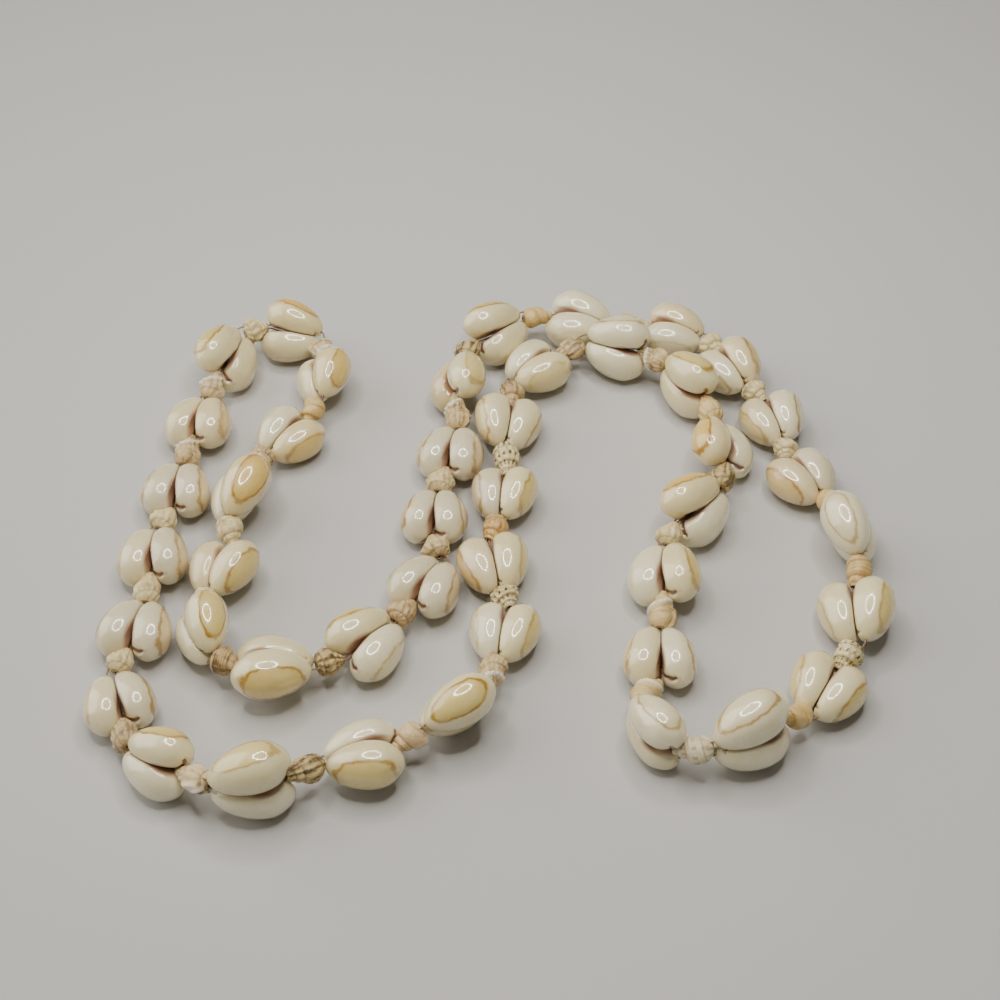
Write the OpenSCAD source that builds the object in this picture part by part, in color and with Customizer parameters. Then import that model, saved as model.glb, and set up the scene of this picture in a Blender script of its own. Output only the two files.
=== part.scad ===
// Shell necklace: a closed loop of ring cowries in pairs, with one small
// sea snail between each pair and the next, strung on two thin cords.
// It lies on a flat surface at z = 0. Lengths in mm, angles in degrees.

/* [View] */
// Sub-part to show

/* [Cowries] */
// Half width of a cowrie at the reference length
cowrie_girth = 5.2; // [4.6:0.05:5.6]
// Height of a cowrie's closed tip above its flat belly, at the reference length
belly_rise = 1.7; // [1.4:0.1:2.4]
// How far the widest place sits toward the open end (0 = middle)
egg_shape = 0.14; // [0:0.02:0.3]
// Cowrie length at which the two sizes above are measured
reference_length = 17; // [16:0.5:18]
// Half of the gap between the bellies of a pair
pair_gap = 0.15; // [0.1:0.05:0.4]
// Width of the slit along the belly
slit_width = 1; // [0.5:0.1:1.4]
// Depth of the slit
slit_depth = 1.2; // [0.6:0.1:1.8]

/* [Spacer snails] */
// Radius of the hole at the tip
throat_radius = 0.85; // [0.75:0.05:0.95]
// Wall around the tip hole
tip_wall = 0.4; // [0.3:0.05:0.6]
// Clear space between a snail's mouth and the next pair
mouth_gap = 0.6; // [0.3:0.1:1]

/* [Thread] */
// Radius of each cord
thread_radius = 0.25; // [0.2:0.05:0.35]
// Radius of the hole bored through each cowrie
bore_radius = 0.55; // [0.45:0.05:0.6]

/* [Hidden] */
stations = 12;
bore_exit = 0.66;
bore_height = 0.3;
notch_lead = 2;
notch_length = 8.5;
notch_radius = [1.7, 5.4];
mouth_flare = 0.4;
rim_lean = 0.98;
cord_spread = 0.4;
tip_seat_straight = 0.8;
tip_seat_turned = 0.22;
lip = 0.3;
cord_mouth_spread = 1.85;

// One row for each pair, in stringing order, and the snail that follows it.
// Places and sizes were read by eye; the heading is that of the open end.
X = 0;
Y = 1;
HEADING = 2;
ROLL = 3;
LENGTH = 4;
OPEN = 5;
FORM = 6;
// x, y, heading, roll, cowrie length, open angle, form of the snail that follows
pairs = [
    [-54.5,  58.0,  164, -45, 16.0, 10, 1],
    [-70.0,  48.0, -106, -46, 17.0,  9, 3],
    [-75.0,  26.5,  -97,   5, 16.0,  9, 3],
    [-77.5,   4.0,  -92,   0, 16.0,  9, 1],
    [-80.0, -17.0,  -88,   4, 16.0,  9, 1],
    [-81.0, -38.0,  -98,   0, 15.5, 11, 3],
    [-81.5, -57.5,  -71,  -3, 15.0,  9, 1],
    [-70.5, -73.5,  -25,  45, 15.0,  9, 3],
    [-50.0, -79.5,    9,  80, 17.5, 11, 3],
    [-28.0, -71.0,   12, -14, 16.5,  9, 1],
    [ -9.0, -60.5,   37, -64, 17.0,  9, 3],
    [  1.0, -38.5,   80,  -8, 15.5,  9, 2],
    [ -1.5, -18.5,  101,  -3, 16.0,  9, 0],
    [  1.0,   3.0,   83, -10, 15.5,  9, 2],
    [  2.0,  26.5,   85,  12, 16.5,  9, 2],
    [  9.5,  46.5,   38,  -8, 16.0,  9, 3],
    [ 30.5,  51.5,  -18,  55, 16.5,  9, 3],
    [ 47.5,  37.5,  -52,  75, 16.5,  9, 1],
    [ 54.0,  16.5,  -85, -38, 16.0, 11, 1],
    [ 46.0,  -4.0, -137, -45, 17.0,  9, 1],
    [ 37.5, -23.0,  -96,  18, 16.5,  9, 3],
    [ 35.0, -45.5,  -94,   0, 15.5, 10, 1],
    [ 32.5, -66.5,  -55,  85, 15.5,  9, 0],
    [ 52.5, -67.5,   28,  75, 18.0,  9, 0],
    [ 70.5, -53.5,   58,   3, 16.0,  9, 0],
    [ 79.5, -33.5,   85, -22, 17.0,  9, 1],
    [ 81.0, -11.0,  100,  64, 17.0,  9, 0],
    [ 73.0,   8.5,  120,   2, 15.5, 10, 1],
    [ 68.0,  28.0,  105, -12, 15.5,  9, 1],
    [ 59.0,  46.5,  118, -16, 16.0,  9, 2],
    [ 45.5,  60.5,  160, -10, 15.5,  9, 1],
    [ 20.5,  64.0,  164, -12, 16.5,  9, 0],
    [ -1.0,  58.0, -143, -40, 16.5,  9, 1],
    [-10.5,  39.5,  -97,  48, 16.0,  9, 3],
    [-12.0,  16.0, -100,   5, 16.0,  9, 2],
    [-15.5,  -4.5,  -94,   3, 15.5,  9, 2],
    [-17.0, -25.5, -117,   3, 15.5, 11, 1],
    [-29.5, -42.0, -135, -14, 16.0, 12, 1],
    [-49.5, -49.5,  182,  27, 17.5,  9, 1],
    [-65.5, -39.5,  106, -64, 15.5,  9, 1],
    [-63.5, -20.5,   73, -20, 15.5, 12, 0],
    [-61.5,   1.0,   73, -58, 17.5,  9, 3],
    [-52.0,  22.5,   52,   4, 15.5, 10, 0],
    [-45.0,  41.5,   88, -42, 15.5,  9, 1]
];
pair_count = len(pairs);

// Snail forms: body radius, whorl count, depth of the grooves, mouth rim radius,
// place of the widest girth, slimness of the tip
BODY = 0;
WHORLS = 1;
GROOVE = 2;
RIM = 3;
WIDEST = 4;
SLIM = 5;
forms = [
    [3.1, 1, 0.00, 2.9, 0.58, 1.3],
    [3.1, 3, 0.06, 3.0, 0.66, 1.6],
    [3.2, 4, 0.14, 3.0, 0.72, 1.6],
    [3.0, 3, 0.08, 3.1, 0.62, 1.5]
];

// Directions of a pair: forward to the open end, and across to the left cowrie
function forward(p) = [cos(p[HEADING]), sin(p[HEADING]), 0];
function across(p) = [-sin(p[HEADING]) * cos(p[ROLL]), cos(p[HEADING]) * cos(p[ROLL]), sin(p[ROLL])];

// Long axis and height direction of one cowrie; side is 1 for left and -1 for right
function long_axis(p, side) = forward(p) * cos(p[OPEN]) + side * across(p) * sin(p[OPEN]);
function height_axis(p, side) = side * across(p) * cos(p[OPEN]) - forward(p) * sin(p[OPEN]);

// Egg outline of a cowrie: distance from the closed tip, and radius there
function size_of(p) = p[LENGTH] / reference_length;
function station_x(p, k) = p[LENGTH] / 2 * (1 - cos(180 * k / stations));
function station_r(p, k) =
    cowrie_girth * size_of(p) * sin(180 * k / stations) * (1 - egg_shape * cos(180 * k / stations));

// Point from the middle of a pair: along the forward direction from the closed ends, and
// above the belly plane of one cowrie
function belly_point(p, side, along, above) =
    forward(p) * (along - p[LENGTH] / 2) + across(p) * side * (pair_gap + above);

// Point on or around the long axis of a cowrie, which leans away from the belly plane
function shell_point(p, side, along, above) =
    belly_point(p, side, 0, 0) + long_axis(p, side) * along + height_axis(p, side) * above;

// How far a pair reaches from its middle in direction w
function reach(p, w) = max([
    for (side = [-1, 1], k = [0 : stations])
        shell_point(p, side, station_x(p, k), belly_rise * size_of(p)) * w
        + station_r(p, k) * sqrt(max(0, 1 - pow(long_axis(p, side) * w, 2)))
]);

// The loop is centred on its own box and each pair rests on z = 0
function span(w) = max([for (p = pairs) [p[X], p[Y], 0] * w + reach(p, w)]);
middle = [(span([1, 0, 0]) - span([-1, 0, 0])) / 2, (span([0, 1, 0]) - span([0, -1, 0])) / 2, 0];
function centre(p) = [p[X], p[Y], reach(p, [0, 0, -1])] - middle;
function next(i) = pairs[(i + 1) % pair_count];

// Snail after pair i: tip in the open end, further out where the string turns, and mouth
// against the next pair's closed end
function closed_end(p) = centre(p) - forward(p) * p[LENGTH] / 2;
function open_end(p) = centre(p) + forward(p) * p[LENGTH] / 2;
function unit(v) = v / norm(v);
function side_turn(i) = abs(unit(closed_end(next(i)) - open_end(pairs[i])) * across(pairs[i]));
function tip_seat(i) = min(1.02, tip_seat_straight + tip_seat_turned * side_turn(i));
function tip_point(i) = centre(pairs[i]) + forward(pairs[i]) * pairs[i][LENGTH] * (tip_seat(i) - 0.5);
function snail_axis(i) = unit(closed_end(next(i)) - tip_point(i));
function turn_cos(i) = snail_axis(i) * forward(next(i));
function turn_sin(i) = sqrt(max(0, 1 - pow(turn_cos(i), 2)));
function rim_radius(i) = forms[pairs[i][FORM]][RIM];
function mouth_back(i) = mouth_gap + rim_lean * rim_radius(i) * turn_sin(i);
function mouth_point(i) = closed_end(next(i)) - snail_axis(i) * mouth_back(i);
function snail_length(i) = norm(mouth_point(i) - tip_point(i));

// Outer radius of a snail at part t of its length, from tip to mouth, with a groove
// at the end of each whorl
function snail_radius(f, t) =
    t < f[WIDEST]
    ? (throat_radius + tip_wall
        + (f[BODY] - throat_radius - tip_wall) * pow(sin(90 * t / f[WIDEST]), f[SLIM]))
        * (1 - f[GROOVE] * (1 - whorl_step(f, t)))
    : f[RIM] + (f[BODY] - f[RIM]) * cos(90 * (t - f[WIDEST]) / (1 - f[WIDEST]));
function whorl_step(f, t) = pow(sin(180 * t / f[WIDEST] * f[WHORLS]), 2);

module cowrie_outline(p) {
    polygon([for (k = [0 : stations]) [station_r(p, k), station_x(p, k)]]);
}

// One cowrie of a pair, cut flat where it faces the other: the cut lies in y = 0, the closed
// end is at x = 0 and the long axis leans toward +Y by the open angle
module cowrie(p) {
    rise = belly_rise * size_of(p);
    tip = [-rise * sin(p[OPEN]), rise * cos(p[OPEN])];
    exit = [bore_exit * p[LENGTH], bore_height];
    difference() {
        rotate([0, 0, p[OPEN]])
            translate([0, rise, 0])
                rotate([0, 90, 0])
                    rotate_extrude($fn = 72)
                        cowrie_outline(p);
        translate([-2, -10, -10])
            cube([p[LENGTH] + 4, 10, 20]);
        translate([p[LENGTH] * 0.16, -1, -slit_width / 2])
            cube([p[LENGTH] * 0.72, 1 + slit_depth, slit_width]);
        translate([tip[0], tip[1], 0])
            rotate([0, 0, atan2(exit[1] - tip[1], exit[0] - tip[0])])
                rotate([0, 90, 0])
                    translate([0, 0, -3])
                        cylinder(r = bore_radius, h = norm(exit - tip) + 5, $fn = 24);
    }
}

// Cowrie set in its pair, cleared at the open end for the tip of snail i
module set_cowrie(i, side) {
    p = pairs[i];
    difference() {
        translate(centre(p))
            rotate([0, 0, p[HEADING]])
                rotate([p[ROLL], 0, 0])
                    mirror([0, side > 0 ? 0 : 1, 0])
                        translate([-p[LENGTH] / 2, pair_gap, 0])
                            cowrie(p);
        along_snail(i)
            translate([0, 0, -notch_lead])
                cylinder(r1 = notch_radius[0], r2 = notch_radius[1], h = notch_length, $fn = 48);
    }
}

module along_snail(i) {
    axis = snail_axis(i);
    translate(tip_point(i))
        rotate([0, acos(axis[2]), atan2(axis[1], axis[0])])
            children();
}

module cowries_left() {
    color([0.93, 0.88, 0.78])
        for (i = [0 : pair_count - 1])
            set_cowrie(i, 1);
}

module cowries_right() {
    color([0.95, 0.90, 0.80])
        for (i = [0 : pair_count - 1])
            set_cowrie(i, -1);
}

// One hollow snail shell along +Z, tip at the origin
module snail(f, h) {
    steps = 4 * f[WHORLS] + 8;
    outer = [for (k = [0 : steps]) [snail_radius(f, k / steps), h * k / steps]];
    bore = [[f[RIM] - lip, h], [throat_radius, h * (1 - mouth_flare)], [throat_radius, 0]];
    rotate_extrude($fn = 48)
        polygon(concat(outer, bore));
}

module spacer_shells() {
    color([0.80, 0.68, 0.50])
        for (i = [0 : pair_count - 1])
            along_snail(i)
                snail(forms[pairs[i][FORM]], snail_length(i));
}

// Stations of one cord for pair i and the snail after it
function beside(i, v, size) = size * unit(v - snail_axis(i) * (v * snail_axis(i)));
function cord_stations(i, side) = let (
    p = pairs[i],
    start = shell_point(p, side, 0, belly_rise * size_of(p)),
    exit = belly_point(p, side, bore_exit * p[LENGTH], bore_height),
    axis = snail_axis(i),
    at_tip = beside(i, side * across(p), cord_spread),
    at_throat = beside(i, side * across(next(i)), cord_spread),
    throat_end = snail_length(i) * (1 - mouth_flare) + 0.3
) [
    centre(p) + start - 0.2 * unit(exit - start),
    centre(p) + exit,
    tip_point(i) - 0.6 * axis + at_tip,
    tip_point(i) + throat_end / 2 * axis + beside(i, at_tip + at_throat, cord_spread),
    tip_point(i) + throat_end * axis + at_throat,
    mouth_point(i) - 0.3 * axis + beside(i, side * across(next(i)), cord_mouth_spread)
];
function cord_path(side) = [for (i = [0 : pair_count - 1]) each cord_stations(i, side)];

// Closed tube of five sides through the stations of a path
cord_sides = 5;
module cord(path) {
    n = len(path);
    tangents = [for (j = [0 : n - 1])
        unit(unit(path[(j + 1) % n] - path[j]) + unit(path[j] - path[(j + n - 1) % n]))];
    rings = [for (j = [0 : n - 1]) let (
        t = tangents[j],
        a = unit(cross(t, [0, 0, 1])),
        b = cross(t, a)
    ) for (s = [0 : cord_sides - 1])
        path[j] + thread_radius * (a * cos(360 * s / cord_sides) + b * sin(360 * s / cord_sides))];
    polyhedron(rings, [for (j = [0 : n - 1], s = [0 : cord_sides - 1]) let (
        here = j * cord_sides,
        there = ((j + 1) % n) * cord_sides,
        s2 = (s + 1) % cord_sides
    ) each [[here + s, there + s, there + s2], [here + s, there + s2, here + s2]]]);
}

module thread() {
    color([0.85, 0.82, 0.74]) {
        cord(cord_path(1));
        cord(cord_path(-1));
    }
}

cowries_left();
cowries_right();
spacer_shells();
thread();
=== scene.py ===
import bpy
import numpy as np
from mathutils import Matrix


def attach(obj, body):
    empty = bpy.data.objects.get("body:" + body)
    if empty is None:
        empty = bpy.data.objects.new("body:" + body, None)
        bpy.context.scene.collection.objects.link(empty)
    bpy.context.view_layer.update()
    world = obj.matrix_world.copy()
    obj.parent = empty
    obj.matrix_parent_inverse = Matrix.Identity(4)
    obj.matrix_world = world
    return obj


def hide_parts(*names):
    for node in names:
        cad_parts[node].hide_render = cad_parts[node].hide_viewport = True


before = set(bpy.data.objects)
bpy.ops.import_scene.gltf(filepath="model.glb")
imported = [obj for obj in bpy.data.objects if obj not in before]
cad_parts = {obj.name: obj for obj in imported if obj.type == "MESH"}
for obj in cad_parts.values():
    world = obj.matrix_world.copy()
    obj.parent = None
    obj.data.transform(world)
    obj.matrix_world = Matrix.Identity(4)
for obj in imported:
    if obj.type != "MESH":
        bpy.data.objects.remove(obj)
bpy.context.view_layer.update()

mm = 0.001

# The string, as in part.scad: one row for each pair of cowries, in mm and degrees
# x, y, heading, roll, cowrie length, open angle, form of the snail that follows
xAt, yAt, headingAt, rollAt, lengthAt, openAt, formAt = range(7)
pairs = np.array([
    (-54.5, 58.0, 164, -45, 16.0, 10, 1),
    (-70.0, 48.0, -106, -46, 17.0, 9, 3),
    (-75.0, 26.5, -97, 5, 16.0, 9, 3),
    (-77.5, 4.0, -92, 0, 16.0, 9, 1),
    (-80.0, -17.0, -88, 4, 16.0, 9, 1),
    (-81.0, -38.0, -98, 0, 15.5, 11, 3),
    (-81.5, -57.5, -71, -3, 15.0, 9, 1),
    (-70.5, -73.5, -25, 45, 15.0, 9, 3),
    (-50.0, -79.5, 9, 80, 17.5, 11, 3),
    (-28.0, -71.0, 12, -14, 16.5, 9, 1),
    (-9.0, -60.5, 37, -64, 17.0, 9, 3),
    (1.0, -38.5, 80, -8, 15.5, 9, 2),
    (-1.5, -18.5, 101, -3, 16.0, 9, 0),
    (1.0, 3.0, 83, -10, 15.5, 9, 2),
    (2.0, 26.5, 85, 12, 16.5, 9, 2),
    (9.5, 46.5, 38, -8, 16.0, 9, 3),
    (30.5, 51.5, -18, 55, 16.5, 9, 3),
    (47.5, 37.5, -52, 75, 16.5, 9, 1),
    (54.0, 16.5, -85, -38, 16.0, 11, 1),
    (46.0, -4.0, -137, -45, 17.0, 9, 1),
    (37.5, -23.0, -96, 18, 16.5, 9, 3),
    (35.0, -45.5, -94, 0, 15.5, 10, 1),
    (32.5, -66.5, -55, 85, 15.5, 9, 0),
    (52.5, -67.5, 28, 75, 18.0, 9, 0),
    (70.5, -53.5, 58, 3, 16.0, 9, 0),
    (79.5, -33.5, 85, -22, 17.0, 9, 1),
    (81.0, -11.0, 100, 64, 17.0, 9, 0),
    (73.0, 8.5, 120, 2, 15.5, 10, 1),
    (68.0, 28.0, 105, -12, 15.5, 9, 1),
    (59.0, 46.5, 118, -16, 16.0, 9, 2),
    (45.5, 60.5, 160, -10, 15.5, 9, 1),
    (20.5, 64.0, 164, -12, 16.5, 9, 0),
    (-1.0, 58.0, -143, -40, 16.5, 9, 1),
    (-10.5, 39.5, -97, 48, 16.0, 9, 3),
    (-12.0, 16.0, -100, 5, 16.0, 9, 2),
    (-15.5, -4.5, -94, 3, 15.5, 9, 2),
    (-17.0, -25.5, -117, 3, 15.5, 11, 1),
    (-29.5, -42.0, -135, -14, 16.0, 12, 1),
    (-49.5, -49.5, 182, 27, 17.5, 9, 1),
    (-65.5, -39.5, 106, -64, 15.5, 9, 1),
    (-63.5, -20.5, 73, -20, 15.5, 12, 0),
    (-61.5, 1.0, 73, -58, 17.5, 9, 3),
    (-52.0, 22.5, 52, 4, 15.5, 10, 0),
    (-45.0, 41.5, 88, -42, 15.5, 9, 1),
])
count = len(pairs)

# Driving sizes, as in part.scad, in mm
forms = [(3.1, 2.9), (3.1, 3.0), (3.2, 3.0), (3.0, 3.1)]  # body and mouth rim radius of a snail
girth = 5.2  # radius of a cowrie of the reference length
rise = 1.7  # height of its long axis above the belly
egg = 0.14  # how much fuller it is toward the open end
referenceLength = 17.0  # of a cowrie
pairGap = 0.15  # from the pair's middle plane to either belly
throat = 0.85  # radius of the hole through a snail
mouthGap = 0.6  # from a snail's mouth to the next pair
mouthFlare = 0.4  # share of the snail that its mouth takes
rimLean = 0.98  # how far a leaning rim draws the mouth back
tipSeat = {"inside": 0.8, "turned": 0.22, "most": 1.02}  # place of a snail's tip along its pair
samePoint = 1e-7  # metres


# v divided by its length
def unit(v):
    return v / np.linalg.norm(v)


# forward, left and width directions of a pair
def pairAxes(row):
    h, r = np.radians(row[headingAt]), np.radians(row[rollAt])
    forward = np.array([np.cos(h), np.sin(h), 0])
    across = np.array([-np.sin(h) * np.cos(r), np.cos(h) * np.cos(r), np.sin(r)])
    return forward, across, np.cross(forward, across)


# long axis and height direction of one cowrie of a pair
def shellAxes(row, side):
    forward, across = pairAxes(row)[:2]
    o = np.radians(row[openAt])
    return (forward * np.cos(o) + side * across * np.sin(o),
            side * across * np.cos(o) - forward * np.sin(o))


# point along the forward direction from the closed ends, above the belly of one cowrie
def bellyPoint(row, side, along, above):
    forward, across = pairAxes(row)[:2]
    return forward * (along - row[lengthAt] / 2) + across * side * (pairGap + above)


# start of the long axis of a cowrie, at its closed end
def axisStart(row, side):
    height = shellAxes(row, side)[1]
    k = row[lengthAt] / referenceLength
    return bellyPoint(row, side, 0, 0) + height * (rise * k)


# how far a pair reaches from its middle in direction w: the CAD's 13 stations of both cowries
def reach(row, w):
    a = np.pi * np.arange(13) / 12
    k = row[lengthAt] / referenceLength
    x = row[lengthAt] / 2 * (1 - np.cos(a))
    r = girth * k * np.sin(a) * (1 - egg * np.cos(a))
    furthest = []
    for side in (-1, 1):
        lean = shellAxes(row, side)[0] @ w
        square = np.sqrt(max(0, 1 - lean ** 2))
        furthest.append(np.max(axisStart(row, side) @ w + x * lean + r * square))
    return max(furthest)


# how far the whole string reaches in direction w
def spanOf(w):
    w = np.array(w, float)
    return max(np.array([p[xAt], p[yAt], 0]) @ w + reach(p, w) for p in pairs)


# the layout's middle goes to the origin, and every pair rests on the ground
middle = np.array([(spanOf((1, 0, 0)) - spanOf((-1, 0, 0))) / 2,
                   (spanOf((0, 1, 0)) - spanOf((0, -1, 0))) / 2, 0])
down = np.array([0, 0, -1.0])
centres = [np.array([p[xAt], p[yAt], reach(p, down)]) - middle for p in pairs]
closedEnds = [c - pairAxes(p)[0] * p[lengthAt] / 2 for c, p in zip(centres, pairs)]
openEnds = [c + pairAxes(p)[0] * p[lengthAt] / 2 for c, p in zip(centres, pairs)]


# tip, axis, length and mouth of the CAD's snail after pair i; where the string turns, the tip
# sits further out between the open ends
def snailPlace(i):
    row, j = pairs[i], (i + 1) % count
    forward, across = pairAxes(row)[:2]
    turned = abs(unit(closedEnds[j] - openEnds[i]) @ across)
    seat = min(tipSeat["most"], tipSeat["inside"] + tipSeat["turned"] * turned)
    tip = centres[i] + forward * row[lengthAt] * (seat - 0.5)
    axis = unit(closedEnds[j] - tip)
    lean = np.sqrt(max(0, 1 - (axis @ pairAxes(pairs[j])[0]) ** 2))
    rim = forms[int(row[formAt])][1]
    mouth = closedEnds[j] - axis * (mouthGap + rimLean * rim * lean)
    return tip, axis, np.linalg.norm(mouth - tip), mouth


print("layout", middle.round(3))


# Faces of a grid of points (rows, columns), closed around its columns, and closed around its
# rows too where loop is set. A first or last row that is a single point gives triangles.
def gridFaces(points, loop, base):
    rows, columns = points.shape[:2]
    index = np.arange(rows * columns).reshape(rows, columns) + base
    here, there = (index, np.roll(index, -1, 0)) if loop else (index[:-1], index[1:])
    quads = np.stack([here, np.roll(here, -1, 1), np.roll(there, -1, 1), there], -1)
    if not loop and np.ptp(points[0], axis=0).max() < samePoint:
        quads[0, :, :2] = index[0, 0]
    if not loop and np.ptp(points[-1], axis=0).max() < samePoint:
        quads[-1, :, 2:] = index[-1, 0]
    return quads.reshape(-1, 4)


# One mesh object at the origin from grids, each of them (points, attribute grids, loop)
def gridMesh(name, grids, material):
    quads, base = [], 0
    for points, values, loop in grids:
        quads.append(gridFaces(points, loop, base))
        base += points.shape[0] * points.shape[1]
    vertices = np.concatenate([points.reshape(-1, 3) for points, values, loop in grids])
    quads = np.concatenate(quads)
    corner = np.ones(quads.shape, bool)  # a quad with two equal corners is a triangle
    corner[:, 1] = quads[:, 1] != quads[:, 0]
    corner[:, 3] = quads[:, 3] != quads[:, 2]
    sizes = corner.sum(1)
    used = np.zeros(len(vertices), bool)
    used[quads] = True
    renumber = np.cumsum(used) - 1
    mesh = bpy.data.meshes.new(name)
    mesh.vertices.add(int(used.sum()))
    mesh.vertices.foreach_set("co", vertices[used].ravel())
    mesh.loops.add(int(sizes.sum()))
    mesh.loops.foreach_set("vertex_index", renumber[quads[corner]].astype(np.int32))
    mesh.polygons.add(len(sizes))
    mesh.polygons.foreach_set("loop_start", (np.cumsum(sizes) - sizes).astype(np.int32))
    mesh.update(calc_edges=True)
    for key in grids[0][1]:
        layer = mesh.attributes.new(key, "FLOAT_VECTOR", "POINT")
        all3 = np.concatenate([values[key].reshape(-1, 3) for points, values, loop in grids])
        layer.data.foreach_set("vector", all3[used].ravel())
    mesh.shade_smooth()
    mesh.materials.append(material)
    return linked(bpy.data.objects.new(name, mesh))


# puts a new object into the scene
def linked(item):
    bpy.context.scene.collection.objects.link(item)
    return item


# local grid (x, y, z) in mm placed at origin + x·u + y·v + z·w, in metres
def place(grid, origin, u, v, w):
    return (origin + grid[..., :1] * u + grid[..., 1:2] * v + grid[..., 2:] * w) * mm


# rides on the one body and stands in for its CAD node, which it hides
def declare(piece, node):
    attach(piece, "root")
    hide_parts(node)


# exp(−(x/width)²): 1 at x = 0, near 0 from two widths on
def bell(x, width):
    return np.exp(-(x / width) ** 2)


# 3·x² − 2·x³ between 0 and 1
def smoothStep(x):
    x = np.clip(x, 0, 1)
    return x * x * (3 - 2 * x)


# 0 up to the start, 1 from a width further on
def rising(x, start, width):
    return smoothStep((x - start) / width)


# 1 up to a width before the end, 0 from the end on
def falling(x, end, width):
    return smoothStep((end - x) / width)


# A material and the few node helpers that the finishes below share
class Finish:
    def __init__(self, name):
        self.material = bpy.data.materials.new(name)
        self.material.use_nodes = True
        self.tree = self.material.node_tree
        self.shader = next(n for n in self.tree.nodes if n.type == "BSDF_PRINCIPLED")

    def add(self, kind, inputs=(), **settings):
        node = self.tree.nodes.new(kind)
        for key, value in settings.items():
            setattr(node, key, value)
        for key, value in dict(inputs).items():
            self.feed(node.inputs[key], value)
        return node

    def feed(self, socket, value):
        if isinstance(value, bpy.types.NodeSocket):
            self.tree.links.new(value, socket)
        else:
            socket.default_value = value

    # sockets of the shader by name
    def shade(self, values):
        for key, value in values.items():
            self.feed(self.shader.inputs[key], value)

    def math(self, operation, a, b=0.0):
        node = self.add("ShaderNodeMath", operation=operation)
        self.feed(node.inputs[0], a)
        self.feed(node.inputs[1], b)
        return node.outputs[0]

    def plus(self, a, b):
        return self.math("ADD", a, b)

    def times(self, a, b):
        return self.math("MULTIPLY", a, b)

    def mix(self, amount, a, b):
        node = self.add("ShaderNodeMix", data_type="RGBA")
        self.feed(node.inputs["Factor"], amount)
        self.feed(node.inputs[6], a)
        self.feed(node.inputs[7], b)
        return node.outputs[2]

    def ramp(self, value, low, high):
        node = self.add("ShaderNodeMapRange", clamp=True, interpolation_type="SMOOTHSTEP")
        self.feed(node.inputs["Value"], value)
        self.feed(node.inputs["From Min"], low)
        self.feed(node.inputs["From Max"], high)
        return node.outputs["Result"]

    def noise(self, scale, detail=3, rough=0.5, where=None):
        if where is None:
            where = self.add("ShaderNodeTexCoord").outputs["Object"]
        return self.add("ShaderNodeTexNoise", {"Vector": where, "Scale": scale, "Detail": detail,
                                               "Roughness": rough}).outputs["Fac"]

    # the three values of one of the piece's own attributes
    def attribute(self, name):
        vector = self.add("ShaderNodeAttribute", attribute_name=name).outputs["Vector"]
        return self.add("ShaderNodeSeparateXYZ", {"Vector": vector}).outputs

    def bump(self, height, strength, distance):
        node = self.add("ShaderNodeBump", {"Height": height, "Strength": strength,
                                           "Distance": distance})
        self.feed(self.shader.inputs["Normal"], node.outputs["Normal"])


# a colour, or the same colour with each channel times a share
def rgb(colour, share=(1, 1, 1)):
    return (colour[0] * share[0], colour[1] * share[1], colour[2] * share[2], 1.0)


# Ramps are (low, high). Distances from the ring line and heights above the belly are in mm, and
# noise scales are in Object coordinates, so per metre.
cowrieEnamel = {
    "wander": 1.2, "wanderScale": 380,  # how far the ring line strays
    "cloudScale": 150, "cloudRamp": (0.35, 0.7), "cloudShare": (0.95, 0.92, 0.85),
    "patchRamp": (0.5, -0.5),
    "deepen": 0.42, "deepenRamp": (-1.7, -0.1), "fadeRamp": (0.7, 0.0),
    "lineRamp": (0.08, 0.34), "breaks": 0.4, "breakScale": 260, "breakRamp": (0.34, 0.58),
    # dirt and painted shade on the belly, where the two cowries meet, strongest lowest down
    "low": (0.34, 0.155, 0.085), "dirtAndShadeAmount": 0.85, "dirtAndShadeRamp": (0.3, 1.2),
    # painted shade: dark in the slit and in the canal notches
    "slit": (0.16, 0.06, 0.035), "slitShadeRamp": (0.2, 0.9),
    "canal": (0.20, 0.09, 0.04), "canalShadeRamp": (0.3, 0.8),
    "speck": (0.50, 0.36, 0.22), "speckAmount": 0.14, "speckRamp": (0.58, 0.75),
    "grainScale": 1500, "rough": 0.22, "grainRough": 0.14,
    "dentScale": 230, "grainDent": 0.12, "dentStrength": 0.2, "dentDepth": 0.0003,
    "shine": {"IOR": 1.55, "Coat Weight": 1.0, "Coat Roughness": 0.035, "Coat IOR": 1.65,
              "Subsurface Weight": 0.1, "Subsurface Radius": (0.0012, 0.0007, 0.0004),
              "Subsurface Scale": 1.0},
}
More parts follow.
